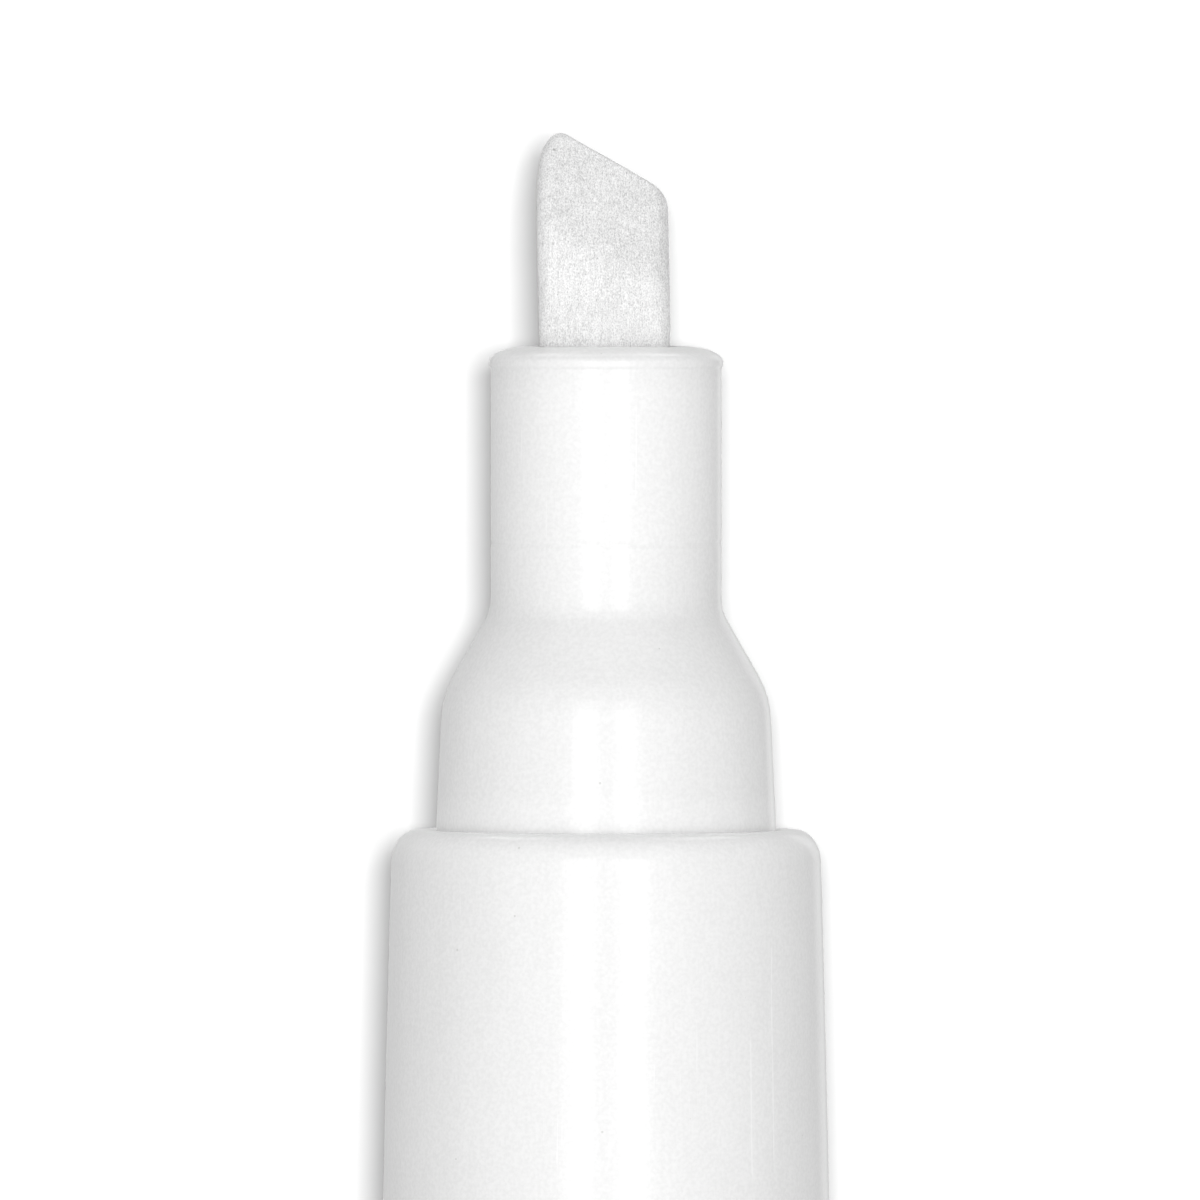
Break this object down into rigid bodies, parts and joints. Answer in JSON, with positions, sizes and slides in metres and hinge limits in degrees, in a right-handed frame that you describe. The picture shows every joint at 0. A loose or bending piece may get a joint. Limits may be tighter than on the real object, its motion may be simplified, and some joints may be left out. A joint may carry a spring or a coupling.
{
  "type": "paint marker",
  "caption": "Refillable pump-valve paint marker with a slanted chisel felt nib, stepped nib holder, screw-in front section and a pull-off cap posted on its tail.",
  "frame": {"origin": "centre of the cap's closed end, on the surface that the marker stands on", "axes": "+Z along the marker towards the nib, -Y out of the nib's wide front face, the point of the slanted nib on the -X side"},
  "size_m": [0.018, 0.018, 0.1599],
  "materials": {
    "white_plastic": "moulded polypropylene, satin",
    "soft_plastic": "moulded polyethylene, matt",
    "felt": "bonded polyester felt",
    "seal_rubber": "smooth seal rubber",
    "spring_steel": "drawn stainless wire",
    "ball_steel": "polished bearing ball"
  },
  "bodies": {
    "cap": {"cap_shell": "white_plastic", "cap_liner": "soft_plastic"},
    "barrel": {"barrel": "white_plastic", "tail_plug": "white_plastic", "tail_seal": "seal_rubber"},
    "section_seal": {"section_seal": "seal_rubber"},
    "section": {"front_section": "white_plastic", "valve_seat": "seal_rubber", "valve_cage": "soft_plastic", "valve_spring": "spring_steel"},
    "nib": {"nib": "felt", "valve_stem": "soft_plastic"},
    "ball_1": {"mixing_ball_1": "ball_steel"},
    "ball_2": {"mixing_ball_2": "ball_steel"}
  },
  "joints": [
    {"name": "cap_pull", "type": "slide", "parent": "cap", "child": "barrel", "axis": [0, 0, 1], "range_m": [0, 0.02]},
    {"name": "section_lift", "type": "slide", "parent": "barrel", "child": "section_seal", "axis": [0, 0, 1], "range_m": [0, 0.0048]},
    {"name": "section_turn", "type": "hinge", "parent": "section_seal", "child": "section", "pos_m": [0, 0, 0.1329], "axis": [0, 0, 1], "range_deg": [0, 722]},
    {"name": "nib_press", "type": "slide", "parent": "section", "child": "nib", "axis": [0, 0, -1], "range_m": [0, 0.0025], "stiffness_N_per_m": 600, "springref_m": -0.002, "deforming": ["valve_spring"]},
    {"name": "ball_1_slide", "type": "slide", "parent": "barrel", "child": "ball_1", "axis": [0, 0, 1], "range_m": [0, 0.07]},
    {"name": "ball_2_slide", "type": "slide", "parent": "barrel", "child": "ball_2", "axis": [0, 0, 1], "range_m": [0, 0.07]}
  ],
  "couplings": [
    {"joint": "section_turn", "follows": "section_lift", "rad_per_m": 2618}
  ]
}
